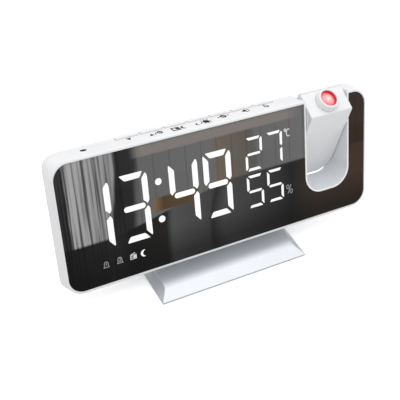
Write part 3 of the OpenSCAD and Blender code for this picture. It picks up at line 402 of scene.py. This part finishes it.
def oval(cx, cz, rx, rz, n=16):
    turns = [2 * math.pi * i / n for i in range(n)]
    return [(cx + rx * math.cos(t), cz + rz * math.sin(t)) for t in turns]


def ring(cx, cz, r, hole):
    return oval(cx, cz, r, r), oval(cx, cz, hole, hole)


def rounded(poly, r, n=3):
    """The polygon with its corners softened by r."""
    out = []
    for i, p in enumerate(poly):
        p = Vector(p)
        a, b = Vector(poly[i - 1]) - p, Vector(poly[(i + 1) % len(poly)]) - p
        d = min(r, a.length * 0.4, b.length * 0.4)
        s, e = p + a.normalized() * d, p + b.normalized() * d
        out += [s.lerp(p, t).lerp(p.lerp(e, t), t) for t in (k / n for k in range(n + 1))]
    return out


def inset(poly, d):
    """The convex polygon (clockwise or not) with its sides moved in by d."""
    pts = [Vector(p) for p in poly]
    mid = sum(pts, Vector((0, 0))) / len(pts)
    out = []
    for i, p in enumerate(pts):
        a, b = (p - pts[i - 1]).normalized(), (pts[(i + 1) % len(pts)] - p).normalized()
        na, nb = Vector((-a.y, a.x)), Vector((-b.y, b.x))
        if na.dot(mid - p) < 0:
            na, nb = -na, -nb
        m = na + nb
        out.append(p + m * (d / max(0.5, m.dot(na))))
    return out


def ribbon(path, width, closed=False):
    """A stroke of even width along a path: one polygon, or a ring where it is closed."""
    pts = [Vector(p) for p in path]
    n = len(pts)
    left, right = [], []
    for i, p in enumerate(pts):
        before = (p - pts[i - 1]).normalized() if closed or i else None
        after = (pts[(i + 1) % n] - p).normalized() if closed or i < n - 1 else None
        d = (before or after) + (after or before)
        d.normalize()
        side = Vector((-d.y, d.x))
        ref = before or after
        k = width / 2 / max(0.5, side.dot(Vector((-ref.y, ref.x))))
        left.append(p + side * k)
        right.append(p - side * k)
    return (left, right) if closed else left + right[::-1]


def sized(shapes, x, z, k):
    """The shapes drawn k times as large about the point x, z."""
    def move(loop):
        return [(x + k * (p[0] - x), z + k * (p[1] - z)) for p in loop]
    return [tuple(move(loop) for loop in s) if isinstance(s, tuple) else move(s)
            for s in shapes]


def plates(name, shapes, place, thick, material):
    """Flat shapes raised by thick from where place puts them, as one piece on the clock."""
    bm = bmesh.new()
    for shape in shapes:
        if isinstance(shape, tuple):
            rows = [[bm.verts.new(place(p[0], p[1], h)) for p in loop]
                    for h in (0, thick) for loop in shape]
            n = len(shape[0])
            for i in range(n):
                j = (i + 1) % n
                for r, s in ((0, 1), (1, 3), (3, 2), (2, 0)):
                    bm.faces.new((rows[r][i], rows[r][j], rows[s][j], rows[s][i]))
        else:
            low = [bm.verts.new(place(p[0], p[1], 0)) for p in shape]
            high = [bm.verts.new(place(p[0], p[1], thick)) for p in shape]
            bm.faces.new(low)
            bm.faces.new(high[::-1])
            for i in range(len(shape)):
                j = (i + 1) % len(shape)
                bm.faces.new((low[j], low[i], high[i], high[j]))
    bmesh.ops.recalc_face_normals(bm, faces=bm.faces)
    me = bpy.data.meshes.new(name)
    bm.to_mesh(me)
    bm.free()
    ob = bpy.data.objects.new(name, me)
    bpy.context.scene.collection.objects.link(ob)
    me.materials.append(material)
    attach(ob, "clock")


def shine(name, shapes, thick, material):
    """A lit figure or sign on the mirror."""
    plates(name, shapes, on_mirror, thick, material)


# ---------------------------------------------------------------- the lit figures
def segments(w, h, s):
    """The seven segments of a figure, its lower left corner at the origin."""
    m = h / 2

    def turn(poly):
        return [(w - x, h - z) for x, z in poly]

    a = [(0.40 * s, h), (w - 0.62 * s, h), (w - 1.21 * s, h - s), (1.23 * s, h - s)]
    foot = [(w, m + 0.63 * s), (w - 0.34 * s, m + 0.11 * s), (w - 0.54 * s, m + 0.29 * s),
            (w - 0.74 * s, m + 0.54 * s), (w - s, m + 0.68 * s)]
    b = [(w - s, h - 1.11 * s), (w - 0.34 * s, h - 0.29 * s), (w - 0.11 * s, h - 0.57 * s),
         (w, h - 1.03 * s)] + foot
    f = [(0, h - 0.57 * s), (0.14 * s, h - 0.26 * s), (s, h - 1.26 * s)]
    f += [(w - x, z) for x, z in foot[::-1]]
    r = 0.47 * s
    g = arc(w - 0.67 * s - r, m, r, -90, 90) + arc(0.67 * s + r, m, r, 90, 270)
    return {"a": a, "b": b, "c": turn(f), "d": turn(a), "e": turn(b), "f": f, "g": g}


# the segments that are lit in each figure, from a at the top clockwise to f, and g in the middle
LIT = {1: "bc", 2: "abged", 3: "abgcd", 4: "fgbc", 5: "afgcd", 7: "abc", 9: "abfgcd"}
BIG = (16.8, 36.6, 3.5, 0.2)            # width, height, stroke, and how far a segment is drawn in
SMALL = (10.8, 19.0, 1.85, 0.22)
CORNER = 0.2                            # radius of a segment's corners, in strokes
TIME_UP, DEGREES_UP, HUMIDITY_UP = 2.6, 13.8, -7.4      # middle of each row of figures
TIME_X, SMALL_X = (-81.5, -61.0, -32.9, -13.2), (12.3, 25.1)    # left side of each figure
DOT_X, DOT_APART, DOT_R = -38.6, 10.2, 1.8


def figures(values, lefts, middle, size):
    """The lit segments of a row of figures, each drawn in and with soft corners."""
    w, h, s, gap = size
    seg = segments(w, h, s)
    out = []
    for value, x0 in zip(values, lefts):
        for key in LIT[value]:
            poly = inset(seg[key], gap)
            if key != "g":
                poly = rounded(poly, CORNER * s)
            out.append([(x0 + p[0], middle - h / 2 + p[1]) for p in poly])
    return out


shine("hour_and_minute", figures((1, 3, 4, 9), TIME_X, TIME_UP, BIG), FIGURE_THICK, GLOW)
shine("colon_dots", [arc(DOT_X, TIME_UP + z, DOT_R, 0, 345, 23) for z in (-DOT_APART, DOT_APART)],
      FIGURE_THICK, GLOW)
shine("temperature_and_humidity",
      figures((2, 7), SMALL_X, DEGREES_UP, SMALL) + figures((5, 5), SMALL_X, HUMIDITY_UP, SMALL),
      FIGURE_THICK, GLOW)
shine("degree_sign", [(oval(37.8, 22.1, 0.8, 0.95), oval(37.8, 22.1, 0.3, 0.45)),
                      ribbon(arc(39.75, 20.4, 1.15, 50, 310, 13, 2.0), 0.5)],
      SIGN_THICK, FAINT)
shine("percent_sign", [(oval(38.5, -10.8, 1.0, 1.35), oval(38.5, -10.8, 0.6, 0.95)),
                       (oval(40.6, -13.7, 1.0, 1.35), oval(40.6, -13.7, 0.6, 0.95)),
                       ribbon([(40.6, -9.7), (38.5, -14.8)], 0.4)],
      SIGN_THICK, DIM)

# ---------------------------------------------------------------- the lit signs
def bell(x, z):
    """Outline of a tall bell that flares to a flat foot."""
    dome = arc(x, z + 0.6, 1.25, 0, 180)
    return ribbon([(x + 1.75, z - 1.9), (x + 1.3, z - 1.1)] + dome
                  + [(x - 1.3, z - 1.1), (x - 1.75, z - 1.9)], 0.42, True)


BELL_ONE = [bell(-71.3, -23.1), ribbon([(-71.3, -22.1), (-71.3, -23.8)], 0.5)]
BELL_TWO = [bell(-63.9, -22.9),
            ribbon([(-64.4, -21.9), (-63.5, -21.9), (-63.5, -22.7), (-64.4, -23.7),
                    (-63.3, -23.7)], 0.36)]
RADIO = [ribbon([(-58.3, -24.8), (-54.6, -24.8), (-54.6, -22.2), (-58.3, -22.2)], 0.45, True),
         oval(-55.7, -23.5, 0.95, 0.95), ribbon([(-58.0, -21.8), (-55.2, -20.9)], 0.4),
         ribbon([(-57.9, -23.5), (-57.0, -23.5)], 0.6)]
MOON = arc(-50.4, -23.2, 1.9, 67, 293, 16) + arc(-49.28, -23.2, 1.78, 258, 102, 14)

shine("alarm_sign_one", sized(BELL_ONE, -71.3, -23.1, 0.82), SIGN_THICK, DIM)
shine("alarm_sign_two", sized(BELL_TWO, -63.9, -22.9, 0.85), SIGN_THICK, DIM)
shine("radio_sign", sized(RADIO, -56.5, -23.4, 0.84), SIGN_THICK, FAINT)
shine("sleep_sign", [MOON], SIGN_THICK, GLOW)


# ---------------------------------------------------------------- signs printed ahead of the keys
def sun(x, depth, r, reach):
    rays = [(math.cos(a), math.sin(a)) for a in (math.radians(45 * k) for k in range(8))]
    return [oval(x, depth, r, r)] + [
        ribbon([(x + r * 1.2 * c, depth + r * 1.2 * d), (x + reach * c, depth + reach * d)], 0.7)
        for c, d in rays]


def crescent(x, depth, r):
    return arc(x, depth, r, 67, 293, 12) + arc(x + 0.59 * r, depth, 0.936 * r, 258, 102, 10)


INKED = {
    "back_mark": [[(-49.5, 8.4), (-46.9, 8.4), (-48.2, 6.1)]],
    "up_mark": [[(-38.2, 5.0), (-35.6, 5.0), (-36.9, 7.2)],
                ribbon([(-34.9, 5.2), (-33.9, 7.4)], 0.5), ring(-32.0, 6.6, 1.5, 0.8),
                ribbon([(-32.0, 7.6), (-32.0, 6.6), (-31.2, 6.6)], 0.4)],
    "radio_mark": [ribbon([(-25.4, 4.4), (-21.6, 4.4), (-21.6, 7.4), (-25.4, 7.4)], 0.7, True),
                   oval(-22.8, 5.9, 0.9, 0.9), crescent(-19.0, 5.9, 1.6)],
    "snooze_mark": [crescent(-11.2, 5.3, 1.3), oval(-9.2, 5.4, 0.35, 0.45),
                    *sun(-6.0, 6.0, 1.7, 2.7)],
    "set_mark": [ring(4.8, 7.1, 1.7, 0.8), oval(4.8, 7.1, 0.4, 0.4),
                 oval(1.9, 6.9, 0.55, 0.5), oval(7.7, 7.3, 0.55, 0.5)],
    "volume_mark": [[(16.6, 6.5), (17.6, 6.5), (19.0, 5.2), (19.0, 9.2), (17.6, 7.9),
                     (16.6, 7.9)], ribbon(arc(18.8, 7.2, 1.6, -50, 50, 6), 0.5)],
    "alarm_mark": [ribbon([(29.6, 6.0), (30.2, 6.9), (30.4, 8.2), (31.0, 8.7), (31.6, 8.2),
                           (31.8, 6.9), (32.4, 6.0)], 0.5, True), oval(31.0, 5.4, 0.4, 0.4)],
}
for name, marks in INKED.items():
    plates(name, marks, on_top, INK_THICK, INK)

# ---------------------------------------------------------------- floor and light
FLOOR_REACH = 6.0
FLOOR_GREY, FLOOR_SEEN = 0.8, 1.5       # as it lights the object, and as the camera sees it
WORLD_LIGHT, WORLD_SEEN = 0.7, 1.0      # on plain surfaces, and to the camera, metal and glass
KEY_AT, KEY_AIM = Vector((0.0, 0.1, 1.3)), Vector((0.0, 0.0, 0.04))
KEY_SIZE, KEY_POWER = 2.0, 12.5

scene = bpy.context.scene
scene.view_settings.view_transform = "Standard"
mesh = bpy.data.meshes.new("floor")
bm = bmesh.new()
bmesh.ops.create_grid(bm, x_segments=1, y_segments=1, size=FLOOR_REACH)
bm.to_mesh(mesh)
bm.free()
floor = bpy.data.objects.new("floor", mesh)
scene.collection.objects.link(floor)
paper = bpy.data.materials.new("floor")
paper.use_nodes = True
nt = paper.node_tree
nt.nodes.clear()
out = nt.nodes.new("ShaderNodeOutputMaterial")
diffuse = nt.nodes.new("ShaderNodeBsdfDiffuse")
path = nt.nodes.new("ShaderNodeLightPath")
nt.links.new(blend(nt, path.outputs["Is Camera Ray"], grey(FLOOR_GREY), grey(FLOOR_SEEN)),
             diffuse.inputs["Color"])
nt.links.new(diffuse.outputs["BSDF"], out.inputs["Surface"])
mesh.materials.append(paper)

world = bpy.data.worlds.new("world")
scene.world = world
world.use_nodes = True
nt = world.node_tree
back = nt.nodes["Background"]
path = nt.nodes.new("ShaderNodeLightPath")
seen = maths(nt, "MAXIMUM", path.outputs["Is Camera Ray"], path.outputs["Is Glossy Ray"])
seen = maths(nt, "MAXIMUM", seen, path.outputs["Is Transmission Ray"])
nt.links.new(span(nt, seen, 0.0, 1.0, WORLD_LIGHT, WORLD_SEEN), back.inputs["Strength"])
back.inputs["Color"].default_value = (1, 1, 1, 1)

key = bpy.data.lights.new("key", "AREA")
key.energy = KEY_POWER
key.size = KEY_SIZE
lamp = bpy.data.objects.new("key", key)
scene.collection.objects.link(lamp)
lamp.location = KEY_AT
lamp.rotation_mode = "QUATERNION"
lamp.rotation_quaternion = (KEY_AIM - KEY_AT).to_track_quat("-Z", "Y")

# ---------------------------------------------------------------- camera
FOCAL, SENSOR = 71.29, 36               # in mm
CAMERA_AT = (-0.1885, -0.2440, 0.3239)
RIGHT, UP, AHEAD = (0.8699, -0.4779, 0.1222), (0.2552, 0.6480, 0.7176), (0.4221, 0.5931, -0.6856)

cam_d = bpy.data.cameras.new("camera")
cam_d.lens, cam_d.sensor_width = FOCAL, SENSOR
cam_d.clip_start = 0.01
cam = bpy.data.objects.new("camera", cam_d)
scene.collection.objects.link(cam)
rows = [(r, u, -f, c) for r, u, f, c in zip(RIGHT, UP, AHEAD, CAMERA_AT)]
cam.matrix_world = Matrix(rows + [(0, 0, 0, 1)])
scene.camera = cam
